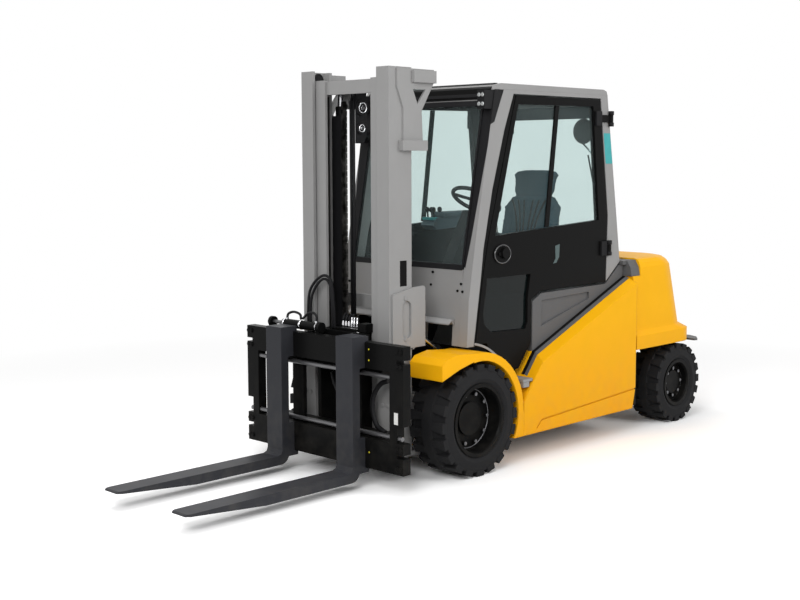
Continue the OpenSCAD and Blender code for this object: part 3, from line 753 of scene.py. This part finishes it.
def wheel_nuts():
    """A ring of nut ends and a thin bright ring on each rim, a painted highlight on its edge, in the wheel's own body.
    """
    for s, side in NAMED_SIDES:
        for end, x, y, z, count, nut_ring, highlight_radius in WHEEL_NUTS:
            wheel = f"{end}_wheel_{side}"
            spots = [(s * x, y + nut_ring * math.cos(a), z + nut_ring * math.sin(a)) for a in full_turn(count)]
            # Painted highlight: a bright ring along the rim's edge.
            highlight_ring = Shape(f"{end}_rim_highlight_{side}")
            highlight_ring.loop((s * (x - 20), y, z), highlight_radius, 3)
            highlight_ring.fit(nut_steel, wheel)
            bolts(f"{end}_nuts_{side}", spots, "x", wheel, "chrome", nut_steel, 8, 8)


wheel_nuts()
tell("wheels")

# %% [markdown]
# ## Hoses and fittings on the carriage
# The side shifter is worked by a small cylinder. Its hoses rise from bright fittings and bend back to the mast.

# %% Carriage hoses
VALVE_PORTS = (-34, -8, 18, 44)


def carriage_hoses():
    hoses = Shape("carriage_hoses")
    for i, x in enumerate(VALVE_PORTS):
        hoses.sweep([(x, -470, 960), (x, -466, 978), (x - 12, -440, 994), (x - 30 - 8 * i, -405, 980),
                     (x - 46 - 6 * i, -384, 930), (-120 + 10 * i, -372, 880)], 8)
    for i, x in enumerate((-306, -284)):
        hoses.sweep([(x, -522, 780), (x, -522, 1060 - 20 * i), (x + 40, -520, 1170 - 20 * i),
                     (-170, -514, 1236 - 22 * i), (-104 - 10 * i, -508, 1200 - 20 * i), (-84 - 16 * i, -504, 1060),
                     (-80 - 20 * i, -500, 905)], 9)
    hoses.sweep([(130, -552, 620), (120, -560, 560), (60, -556, 470), (0, -540, 400), (-40, -520, 340)], 9)
    hoses.sweep([(-60, -552, 640), (-20, -562, 560), (40, -560, 480), (70, -548, 400), (80, -530, 340)], 9)
    hoses.sweep([(x, -575, z) for x, z in ((470, 650), (400, 620), (345, 550), (330, 484), (340, 420), (372, 362),
                                           (440, 332))], 15)
    hoses.fit(plastic, "carriage")


def carriage_fittings():
    fittings = Shape("carriage_fittings")
    for x in VALVE_PORTS:
        fittings.rod((x, -470, 902), (x, -470, 960), 7)
        fittings.rod((x, -470, 930), (x, -470, 950), 11, sides=6)
    for x in (70, 92, 118):
        fittings.rod((x, -500, 902), (x + 4, -496, 990), 6)
        fittings.rod((x, -500, 915), (x + 1, -499, 935), 11, sides=6)
    fittings.fit(chrome, "carriage")
    block = Shape("valve_block")
    block.box((-60, 140), (-519, -440), (904, 922), soft=3)
    block.box((150, 215), (-519, -450), (904, 960), soft=4)
    block.fit(black, "carriage")


def shifter_fittings():
    hoses = Shape("shifter_hoses")
    hoses.sweep([(-110, -630, 957), (-112, -626, 990), (-150, -620, 1010), (-200, -620, 1000), (-240, -630, 965)], 8)
    hoses.sweep([(-390, -630, 955), (-388, -620, 985), (-340, -616, 1000), (-280, -618, 990), (-255, -630, 962)], 8)
    hoses.fit(plastic, "side_shifter")
    bands = Shape("cylinder_bands")
    for x in (-405, -250, -95):
        bands.rod((x - 7, -630, 925), (x + 7, -630, 925), 30)
    for x in (-110, -390):
        bands.rod((x, -630, 950), (x, -630, 962), 11, sides=6)
    bands.fit(chrome, "side_shifter")
    plate = Shape("blank_sticker")
    plate.box((640, 672), (SHIFTER_FACE - 1.5, SHIFTER_FACE - 0.4), (430, 500))
    plate.fit(white_plate, "side_shifter")


carriage_hoses()
carriage_fittings()
shifter_fittings()
tell("on the carriage")

# %% [markdown]
# ## Cab trim
# The windscreen sits in a black rubber seal, the roof has a dark front edge, and black linings cover the roof and the
# top of the rear window.

# %% Seals and linings
CAB_X = 574
HINGE_Y, HINGES_Z = 1500, (1340, 2240)


def cab_seals():
    seal = Shape("windscreen_seal")
    for x in (-502, 488):
        seal.plate([(50, 1276), (76, 1276), (272, 2330), (246, 2330)], (x, x + 14))
    seal.plate([(46, 1272), (76, 1272), (82, 1306), (52, 1306)], (-502, 502))
    seal.plate([(240, 2296), (268, 2296), (274, 2330), (246, 2330)], (-502, 502))
    for s in SIDES:
        seal.leaning([(505, 1290), (516, 1290), (536, 1460), (505, 1460)], 59, 87.5, s)
        seal.leaning([(505, 1460), (536, 1460), (575.3, 2040), (575.3, 2396), (505, 2396)], 87.5, 265.5, s)
        seal.plate([(226, 2180), (268, 2398), (352, 2398), (262, 2196)], span(s, CAB_X, 576.5))
    seal.fit(plastic, "chassis")


def linings():
    blind = Shape("roof_blind")
    blind.box((-398, 398), (432, 1328), (2402, 2411))
    blind.fit(plastic, "chassis")
    lining = Shape("rear_lining")
    lining.box((-520, 520), (1386, 1398), (2242, 2328))
    lining.fit(lining_cloth, "chassis")


def hinge_caps():
    caps = Shape("hinge_caps")
    for s in SIDES:
        for z in HINGES_Z:
            for low, high in ((25.5, 53), (-53, -25.5)):
                caps.rod((s * 591, HINGE_Y, z + low), (s * 591, HINGE_Y, z + high), 17)
                caps.box(span(s, 576, 600), (HINGE_Y + 4, HINGE_Y + 24), (z + low, z + high), soft=3)
    caps.fit(plastic, "chassis")


def roof_header():
    header = Shape("roof_header")
    header.plate([(250, 2338), (262, 2338), (276, 2402), (330, 2440), (300, 2440), (262, 2404)], (-545, 545))
    header.fit(black, "chassis")
    strip = Shape("header_strip")
    strip.plate([(246, 2352), (251, 2352), (255, 2372), (250, 2372)], (-500, 500))
    strip.fit(plastic, "chassis")


cab_seals()
linings()
hinge_caps()
roof_header()
tell("seals and linings")

# %% [markdown]
# The lamps stand on the front pillars and at the rear of the roof. Only their lenses are added here.

# %% Lamps
def lamps():
    lens = Shape("lamp_lenses")
    for s in SIDES:
        for x in (528, 556):
            for z in (2306, 2362):
                lens.rod((s * x, 171, z), (s * x, 166, z), 13, 11)
        lens.box((s * 360 - 34, s * 360 + 34), (1552, 1556), (2158, 2222), soft=2)
    lens.fit(lens_glass, "chassis")
    spot = Shape("spot_lens")
    spot.ball((-520, 150, 2120), 44, (1, 0.45, 1))
    spot.fit(blue_glass, "chassis")


lamps()
tell("lamps")

# %% [markdown]
# What the doors carry rides on the doors, so it swings with them.

# %% Pillar strips and doors
HANDLE_Y, HANDLE_Z = 345, 1362


def pillar_trims():
    """Black cover strips behind the slanting front pillars."""
    trims = Shape("pillar_trims")
    for s in SIDES:
        trims.plate([(75, 797), (140, 1210), (165, 1400), (247, 1771), (361, 2146), (452, 2376),
                     (470, 2376), (204, 1460), (152, 1220), (84, 797)], span(s, CAB_X, 576.3))
    trims.fit(black, "chassis")


def door_handle(s, door):
    """An oval ring over a shallow cup with a bar."""
    ring = Shape(f"{door}_handle")
    ring.loop((s * 582, HANDLE_Y, HANDLE_Z), 78, 5, flat=0.74)
    ring.fit(dark_gloss, door)
    cup = Shape(f"{door}_handle_cup")
    oval = [(HANDLE_Y + 82 * math.cos(a), HANDLE_Z + 60 * math.sin(a)) for a in full_turn(40)]
    cup.plate(oval, span(s, CAB_X, 581))
    cup.box(span(s, 580, 592), (300, 395), (1354, 1374), soft=4)
    cup.fit(black, door)


def door_trim(s, door):
    """The strip over the wheel arch, the pale grip, the hinge leaves and the inner rail."""
    sill = Shape(f"{door}_sill")
    arch = [math.radians(a) for a in (80, 74, 68, 62, 56, 51)]
    rim = [(r, a) for r, way in ((472, 1), (457, -1)) for a in arch[::way]]
    sill.plate([(r * math.cos(a), FRONT_WHEEL_Z + r * math.sin(a)) for r, a in rim], span(s, 574.4, 577))
    sill.fit(silver, door)
    grip = Shape(f"{door}_grip")
    grip.plate([(900, 1386), (949, 1395), (944, 1310), (915, 1272), (880, 1268), (905, 1300)], span(s, CAB_X, 576.2))
    grip.fit(pale_plate, door)
    leaf = Shape(f"{door}_hinges")
    for z, y in zip(HINGES_Z, (1490, 1408)):
        leaf.box(span(s, 576.5, 593), (y - 78, y - 14), (z - 50, z + 50), soft=3)
    leaf.fit(plastic, door)
    rail = Shape(f"{door}_rail")
    rail.sweep([(s * 528, 330, 1500), (s * 505, 340, 1500), (s * 500, 360, 1490), (s * 500, 640, 1440),
                (s * 505, 680, 1430), (s * 528, 690, 1430)], 11)
    rail.fit(plastic, door)


pillar_trims()
for s, side in NAMED_SIDES:
    door_handle(s, f"door_{side}")
    door_trim(s, f"door_{side}")
tell("pillars and doors")

# %% [markdown]
# The last small things on the cab are plain forms. Plates stay blank.

# %% Wiper, mirror, blank plates, rear lamp and cowl
def wiper_and_mirror():
    wiper = Shape("wiper")
    wiper.rod((-60, 40, 1300), (-60, 62, 1300), 16)
    wiper.sweep([(-60, 44, 1300), (-150, 92, 1560), (-260, 152, 1900)], 6)
    wiper.sweep([(-190, 66, 1420), (-290, 146, 1860), (-330, 178, 2030)], 5)
    wiper.fit(plastic, "chassis")
    mirror = Shape("inside_mirror")
    mirror.ball((-300, 300, 2215), 62, (0.55, 0.35, 1.2))
    mirror.rod((-300, 300, 2280), (-300, 300, 2335), 6)
    mirror.fit(plastic, "chassis")


def blank_plates():
    plates = Shape("blank_plates")
    plates.plate([(1436, 2140), (1512, 2140), (1545, 1930), (1466, 1930)], (574.5, 576.5))
    plates.fit(teal_plate, "chassis")
    labels = Shape("mast_labels")
    labels.box((389.5, 391.4), (-394, -337), (1196, 1352))
    labels.fit(black, "mast_outer")


def rear_lamp():
    rear = Shape("rear_lamp_shell")
    rear.ball((356, 1502, 2158), 92, (0.95, 0.42, 0.98))
    rear.sweep([(365, 1548, 1991), (410, 1562, 1760), (450, 1574, 1545)], 6)
    rear.fit(black, "chassis")
    arm = Shape("rear_lamp_arm")
    arm.rod((340, 1506, 2080), (452, 1520, 1972), 7)
    arm.fit(chrome, "chassis")


def cowl_details():
    # Black discs are painted shade inside the cowl's holes.
    cowl = Shape("cowl_hole_shade")
    for s in SIDES:
        for x, z, y in ((499, 1187, 44), (475, 1143, 38), (516, 1140, 38), (255, 1248, 46), (244, 1167, 42)):
            cowl.rod((s * x, y - 8, z), (s * x, y + 4, z), 8)
    cowl.fit(black, "chassis")
    ledge = Shape("cowl_ledge")
    for s in SIDES:
        ledge.plate([(20, 930), (20, 962), (-6, 962), (-36, 938), (-36, 930), (-4, 952), (8, 930)], span(s, 196, 462))
    ledge.fit(silver, "chassis")


wiper_and_mirror()
blank_plates()
rear_lamp()
cowl_details()
tell("cab fittings")

# %% [markdown]
# ## Edges of the side panels
# The yellow panels are bevelled towards the cab. A black seal lies on the flat ledge beside the cab and a grey strip on
# the bevel, and each entry step carries a pale block. Every strip is a thin body between two lines in space.

# %% Strips and steps
PANEL_EDGE = (
    ((602, 1695, 1127), (700, 1695, 1085)),
    ((602, 660, 698), (700, 622, 645)),
    ((602, 548, 560), (700, 530, 540)),
)


def edge_strip(name, rows, material):
    """A strip along the panel's edge, between two lines of points."""
    strip = Shape(name)
    for s in SIDES:
        for (a, b), (c, d) in zip(rows, rows[1:]):
            sheets = [[(s * (x + lift), y - lift, z + lift) for x, y, z in (a, b, d, c)] for lift in (-1.0, 1.2)]
            strip.solid(*sheets)
    strip.fit(material, "chassis")


ledge = [((575.5, y, z), (602, y, z)) for (_, y, z), _ in PANEL_EDGE]
bevel = [(inner, [a + (b - a) * 0.28 for a, b in zip(inner, outer)]) for inner, outer in PANEL_EDGE]
edge_strip("panel_gap_seals", ledge, black)
edge_strip("panel_edge_strips", bevel, grey)
steps = Shape("step_blocks")
for s in SIDES:
    steps.box(span(s, 604, 691), (432, 492), (498, 533.5), soft=4)
steps.fit(silver, "chassis")
tell("edges and steps")

# %% [markdown]
# ## Driver's place
# The armrest carries small levers, a teal button and a rounded pad; a screen and two pedals complete the cab.

# %% Controls
def controls():
    levers = Shape("levers")
    for x, y in ((-395, 690), (-365, 700), (-335, 690), (-350, 770)):
        levers.rod((x, y, 1548), (x, y - 6, 1600), 6)
        levers.ball((x, y - 8, 1608), 17, (1, 1, 1.2))
    for x in (95, 205):
        levers.box((x - 35, x + 35), (250, 330), (680, 700), soft=6)
        levers.rod((x, 240, 640), (x, 290, 690), 9)
    levers.fit(plastic, "chassis")
    pad = Shape("arm_pad")
    pad.box((-420, -300), (750, 1136), (1548, 1592), soft=16)
    pad.fit(slate_plastic, "chassis")
    button = Shape("teal_button")
    button.box((-412, -308), (646, 700), (1536, 1556), soft=6)
    button.fit(teal_plate, "chassis")
    screen = Shape("screen")
    screen.box((-300, -170), (205, 235), (1290, 1390), soft=6)
    screen.rod((-235, 190, 1262), (-235, 215, 1300), 12)
    screen.fit(plastic, "chassis")


controls()
tell("controls")

# %% [markdown]
# ## Seat
# Foam under cloth is tight at its seams and full between them. Each cushion starts as a plain block, gets an even skin
# of small faces, and is then blown up a little as cloth while its seam lines stay where they are.

# %% Cushions
SEAM_WIDTH = 0.005
SKIN, QUICK_SKIN = 0.006, 0.012
LAST_FRAME = 20


def seam_lines(mesh, seams):
    """Marks the vertices near a seam: a seam is an axis and a place along it."""
    spots = np.empty(len(mesh.vertices) * 3)
    mesh.vertices.foreach_get("co", spots)
    spots = spots.reshape(-1, 3)
    held = np.zeros(len(spots), bool)
    for axis, place in seams:
        held |= np.abs(spots[:, axis] - place) < SEAM_WIDTH
    return held


def cushion(name, block, seams, puff):
    """A padded form over a plain block."""
    block.mesh.normal_update()
    data = bpy.data.meshes.new(name)
    block.mesh.to_mesh(data)
    block.mesh.free()
    piece = bpy.data.objects.new(name, data)
    scene.collection.objects.link(piece)
    bpy.context.view_layer.objects.active = piece
    skin = piece.modifiers.new("skin", "REMESH")
    skin.mode, skin.voxel_size = "VOXEL", SKIN
    soften = piece.modifiers.new("soften", "SMOOTH")
    soften.iterations, soften.factor = 4, 0.5
    bake(piece)
    inflate(piece, seams, puff)
    for face in piece.data.polygons:
        face.use_smooth = True
    piece.data.materials.append(cloth)
    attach(piece, "chassis")
    added.append(name)
    return piece


def bake(piece):
    """Keep the result of the modifiers as a plain mesh."""
    view = bpy.context.evaluated_depsgraph_get()
    mesh = bpy.data.meshes.new_from_object(piece.evaluated_get(view), depsgraph=view)
    piece.modifiers.clear()
    piece.data = mesh


def inflate(piece, seams, puff):
    """Blow the skin up as cloth that is held at its seams, by `puff` at most."""
    rest = np.empty(len(piece.data.vertices) * 3)
    piece.data.vertices.foreach_get("co", rest)
    held = seam_lines(piece.data, seams)
    group = piece.vertex_groups.new(name="seams")
    group.add([int(i) for i in np.flatnonzero(held)], 1.0, "REPLACE")
    fabric = piece.modifiers.new("fabric", "CLOTH")
    fabric.settings.use_pressure = True
    fabric.settings.uniform_pressure_force = 4.0
    fabric.settings.quality = 5
    fabric.settings.effector_weights.gravity = 0.0
    fabric.settings.vertex_group_mass = "seams"
    fabric.point_cache.frame_start, fabric.point_cache.frame_end = 1, LAST_FRAME
    for frame_number in range(1, LAST_FRAME + 1):
        scene.frame_set(frame_number)
    bake(piece)
    moved = np.empty(len(rest))
    piece.data.vertices.foreach_get("co", moved)
    step = (moved - rest).reshape(-1, 3)
    size = np.linalg.norm(step, axis=1, keepdims=True)
    step *= np.minimum(1.0, puff / np.maximum(size, 1e-9))
    piece.data.vertices.foreach_set("co", (rest.reshape(-1, 3) + step).ravel())
    scene.frame_set(1)


print("cushions of", SKIN, "m faces")

# %% [markdown]
# The backrest leans, and its pleats are seams. Dark cords spread from them towards the shoulders as painted shade in
# the grooves.

# %% Seat
BACK_Y, BACK_Z = 1246, 1134
BACK_LEAN = 100 / 560
PLEATS = (-0.14, -0.07, 0.0, 0.07, 0.14)


def seat():
    base = Shape("seat_cushion_soft")
    base.plate([(786, 1146), (776, 1180), (790, 1228), (850, 1240), (1236, 1232), (1236, 1132), (900, 1132)],
               (-244, 244))
    low = cushion("seat_cushion_soft", base, ((0, -0.15), (0, 0.15), (1, 0.62)), 0.010)
    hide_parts("seat_cushion")
    back = Shape("seat_back_soft")
    back.front([(-240, 1134), (240, 1134), (242, 1400), (228, 1620), (160, 1690), (-160, 1690), (-228, 1620),
                (-242, 1400)], (0, 96))
    back.front([(-130, 1684), (130, 1684), (156, 1730), (164, 1820), (180, 1848), (150, 1872), (84, 1882), (-84, 1882),
                (-150, 1872), (-180, 1848), (-164, 1820), (-156, 1730)], (10, 84))
    for v in back.mesh.verts:
        v.co.y += (BACK_Y + (v.co.z / MM - BACK_Z) * BACK_LEAN) * MM
    high = cushion("seat_back_soft", back, [(0, x) for x in PLEATS], 0.016)
    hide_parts("seat_back")


def seat_crease_shade():
    """Dark cords on the backrest that spread towards its shoulders, painted shade where the grooves are."""
    fan = ((1.45, 1668), (1.1, 1590), (0.85, 1500), (0.7, 1400), (0.62, 1270))
    crease_shade = Shape("seat_crease_shade")
    for s in SIDES:
        for x in (28, 66, 104):
            crease_shade.sweep([(s * share * x, BACK_Y + (z - BACK_Z) * BACK_LEAN - 7, z) for share, z in fan], 6, sides=8)
    # The cords are painted shade in the backrest's grooves.
    crease_shade.fit(plastic, "chassis")


seat()
seat_crease_shade()
tell("seat")

# %% [markdown]
# ## Studio
# A pale floor keeps the shadow and turns pure white away from the truck.

# %% Floor
def studio_floor():
    half = 40.0
    mesh = bpy.data.meshes.new("studio_floor")
    mesh.from_pydata([(-half, -half, 0), (half, -half, 0), (half, half, 0), (-half, half, 0)], [], [(0, 1, 2, 3)])
    floor = bpy.data.objects.new("studio_floor", mesh)
    scene.collection.objects.link(floor)
    white = Finish("studio_white", (0.80, 0.80, 0.80), 1.0, Specular_IOR_Level=0.0)
    seen = white.seen()
    white.set("Base Color", white.mix(seen, (0.62, 0.62, 0.62), (1.2, 1.2, 1.2)))
    away = white.node("ShaderNodeVectorMath", {"operation": "LENGTH"}, {0: white.place()}, out="Value")
    glow = white.node("ShaderNodeEmission", None, {"Color": (1.0, 1.0, 1.0, 1), "Strength": 1.0})
    white.blend(white.ramp(away, 3.2, 6.0) * seen, second=glow)
    mesh.materials.append(white.material)
    return floor


print("floor:", studio_floor().name)

# %% [markdown]
# Three large soft lamps light the truck, and the world fills the rest.

# %% World and lamps
FILL, WHITE = 0.42, 1.0
AIM = Vector((0, 0, 1.0))
STUDIO_LAMPS = (
    ("key", (4.0, -7.0, 5.5), 4.0, 420),
    ("side", (8.0, 2.0, 4.0), 4.0, 300),
    ("top", (-1.5, -1.0, 8.0), 6.0, 260),
)


def studio_sky():
    """White where it is looked at, and a softer fill as a light."""
    scene.world = bpy.data.worlds.new("studio_sky")
    scene.world.use_nodes = True
    sky = Graph(scene.world.node_tree)
    background = sky.tree.nodes["Background"]
    background.inputs["Color"].default_value = (1.0, 1.0, 1.0, 1)
    sky.join(background.inputs["Strength"], FILL + sky.seen() * (WHITE - FILL))


def studio_lamps():
    for name, place, size, power in STUDIO_LAMPS:
        data = bpy.data.lights.new(name, "AREA")
        data.size, data.energy = size, power
        lamp = bpy.data.objects.new(name, data)
        lamp.location = place
        lamp.rotation_euler = (AIM - Vector(place)).to_track_quat("-Z", "Y").to_euler()
        scene.collection.objects.link(lamp)


studio_sky()
studio_lamps()
print("world and", len(STUDIO_LAMPS), "lamps")
